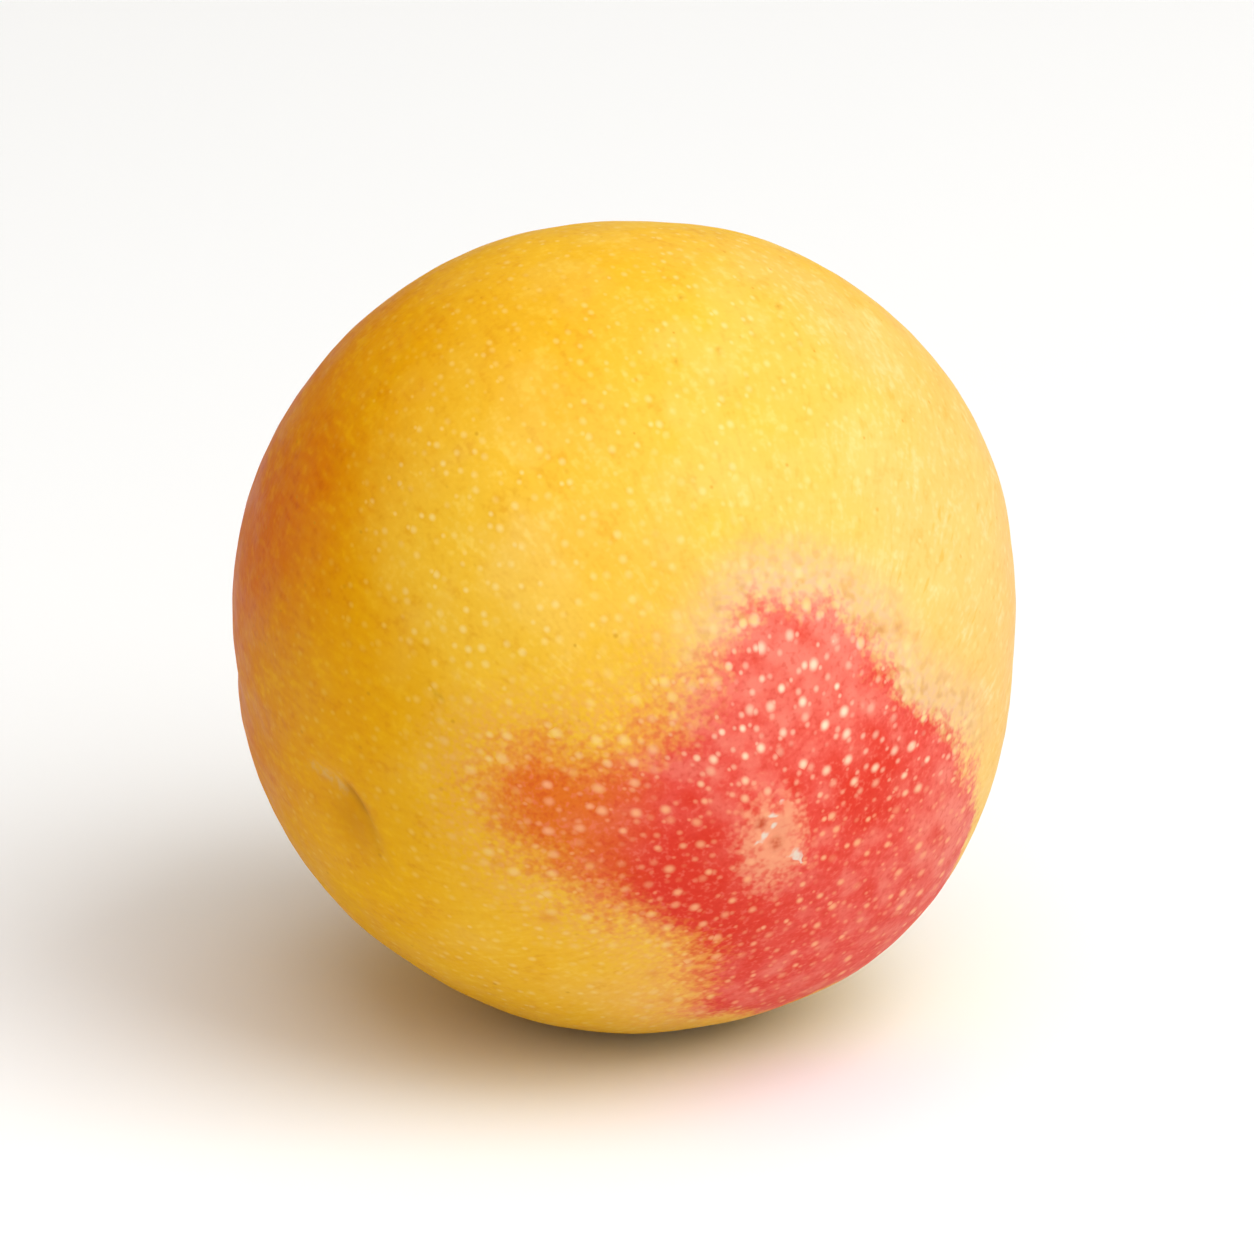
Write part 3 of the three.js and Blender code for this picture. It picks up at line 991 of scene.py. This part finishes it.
def blossom_scar(shade, colour, fine):
    """The torn pale patch where the flower was, with dry grey lines and two dark pits."""
    flat = shade.field("blossom_map", "Vector")
    torn = shade.noise(flat, size=1.1, detail=1.0, seed=18.0)
    bent = shade.vector("ADD", flat, shade.ease(torn, (0.2, 0.8), (-0.5, 0.5)))
    from_middle = shade.vector("SUBTRACT", bent, (*BLOSSOM_SCAR, 0.0))
    inside = shade.vector("DIVIDE", from_middle, BLOSSOM_SCAR_REACH)
    away = shade.span(inside, (0.0, 0.0, 0.0))
    away = shade.sum(away, shade.ease(fine, (0.3, 0.7), (-0.25, 0.25)))
    colour = shade.mix(shade.ease(away, (1.4, 0.3), (0.0, 0.85)), colour, tint(TORN_SKIN))
    pits = shade.times(shade.field("scar_pits"), shade.ease(fine, (0.3, 0.6), (0.4, 1.0)))
    colour = shade.mix(pits, colour, tint(SCAR_PIT))
    lines = shade.strokes(bent, BLOSSOM_SCAR_LINES, BLOSSOM_SCAR_LINE_HALF_WIDTH)
    lines = shade.times(lines, shade.ease(fine, (0.3, 0.55), (0.4, 0.95)))
    return shade.mix(lines, colour, tint(DRY_LINE))


def small_marks(shade, colour):
    """Rust and specks, each kind with its own colour."""
    for name, (seen, strength, _) in SMALL_MARKS.items():
        colour = shade.mix(shade.times(shade.field(name), strength), colour, tint(seen))
    return colour


def skin_colour(shade, place):
    """All of the skin's colours, from the ground up to the smallest marks."""
    fine = shade.noise(place, size=0.5, detail=1.0, seed=2.0)
    grain = shade.noise(place, size=0.42, detail=1.0, seed=16.0)
    dot_map = shade.field("dot_map", "Vector")
    faint = shade.dots(dot_map, spacing=0.85, size=0.15, seed=30.0)
    dots = shade.dots(dot_map, spacing=1.3, size=0.235, seed=10.0)
    dots = shade.most(dots, shade.times(faint, FAINT_DOT_SHARE))

    colour = golden_skin(shade, fine)
    colour = shade.mix(shade.times(shade.field("seam_line"), SEAM_SHARE), colour, tint(SEAM_SHADE))
    colour = stalk_scar(shade, colour, grain)
    colour = crease_marks(shade, colour, fine)
    colour = fringe_marks(shade, colour, place, fine, grain, dots)
    colour = blush(shade, colour, fine, grain, dots)
    colour = blossom_scar(shade, colour, fine)
    return small_marks(shade, colour)


def make_material(name):
    """A new material and the maker of its nodes."""
    material = bpy.data.materials.new(name)
    material.use_nodes = True
    return material, Shade(material.node_tree)


def skin_material():
    """Satin waxy skin with fine pores."""
    material, shade = make_material("fruit_skin")
    place = shade.field("own_place", "Vector")
    pores = shade.noise(place, size=PORE_SIZE, detail=0.0, seed=12.0)
    relief = {"Strength": PORE_STRENGTH, "Distance": PORE_DEPTH, "Height": pores}
    bump = shade.node("ShaderNodeBump", relief)
    surface = shade.node("ShaderNodeBsdfPrincipled", {
        "Base Color": skin_colour(shade, place),
        "Roughness": shade.ease(shade.field("mottle"), (-1.5, 1.5), SKIN_ROUGHNESS),
        "IOR": SKIN_IOR,
        "Specular IOR Level": SKIN_SHINE,
        "Normal": bump.outputs[0],
    })
    shade.node("ShaderNodeOutputMaterial", {0: surface.outputs[0]})
    return material


def floor_material():
    """A matt pale floor."""
    material, shade = make_material("pale_floor")
    surface = shade.node("ShaderNodeBsdfPrincipled", {
        "Base Color": FLOOR_COLOUR,
        "Roughness": FLOOR_ROUGHNESS,
        "Specular IOR Level": 0.0,
    })
    shade.node("ShaderNodeOutputMaterial", {0: surface.outputs[0]})
    return material


def make_floor():
    half = FLOOR_HALF
    corners = [(-half, -half, 0), (half, -half, 0), (half, half, 0), (-half, half, 0)]
    mesh = bpy.data.meshes.new("floor")
    mesh.from_pydata(corners, [], [(0, 1, 2, 3)])
    mesh.materials.append(floor_material())
    floor = bpy.data.objects.new("floor", mesh)
    bpy.context.collection.objects.link(floor)
    return floor


def face_middle(thing, yaw, up, distance):
    """Places a light or a camera at a heading, height and distance, facing the fruit's middle."""
    out = Vector(pointing(yaw, up))
    thing.location = Vector((0, 0, MIDDLE_HEIGHT)) + out * distance
    thing.rotation_euler = out.to_track_quat("Z", "Y").to_euler()
    bpy.context.collection.objects.link(thing)


def soft_box(name, yaw, up, distance, size, power):
    """A square area light."""
    light = bpy.data.lights.new(name, "AREA")
    light.size = size
    light.energy = power
    face_middle(bpy.data.objects.new(name, light), yaw, up, distance)


def make_world():
    """Even light from all round, white on the right and dimmer and warmer on the left."""
    world = bpy.data.worlds.new("studio")
    world.use_nodes = True
    shade = Shade(world.node_tree)
    way = shade.node("ShaderNodeTexCoord", {}).outputs["Generated"]
    to_right = shade.node("ShaderNodeSeparateXYZ", {0: way}).outputs[0]
    colour = shade.mix(shade.ease(to_right, WORLD_TURN), WORLD_LEFT, WORLD_RIGHT)
    light = shade.node("ShaderNodeBackground", {"Color": colour, "Strength": 1.0})
    shade.node("ShaderNodeOutputWorld", {0: light.outputs[0]})
    bpy.context.scene.world = world


def make_light():
    make_world()
    for name, settings in LIGHTS.items():
        soft_box(name, *settings)


def make_camera():
    camera = bpy.data.cameras.new("camera")
    camera.lens = CAMERA_LENS
    camera.sensor_width = CAMERA_SENSOR
    holder = bpy.data.objects.new("camera", camera)
    face_middle(holder, 0, CAMERA_ELEVATION, CAMERA_DISTANCE)
    bpy.context.scene.camera = holder


piece = make_skin()
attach(piece, "root")
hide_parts("plumcot")

floor = make_floor()

make_light()
make_camera()
bpy.context.scene.view_settings.view_transform = "Standard"
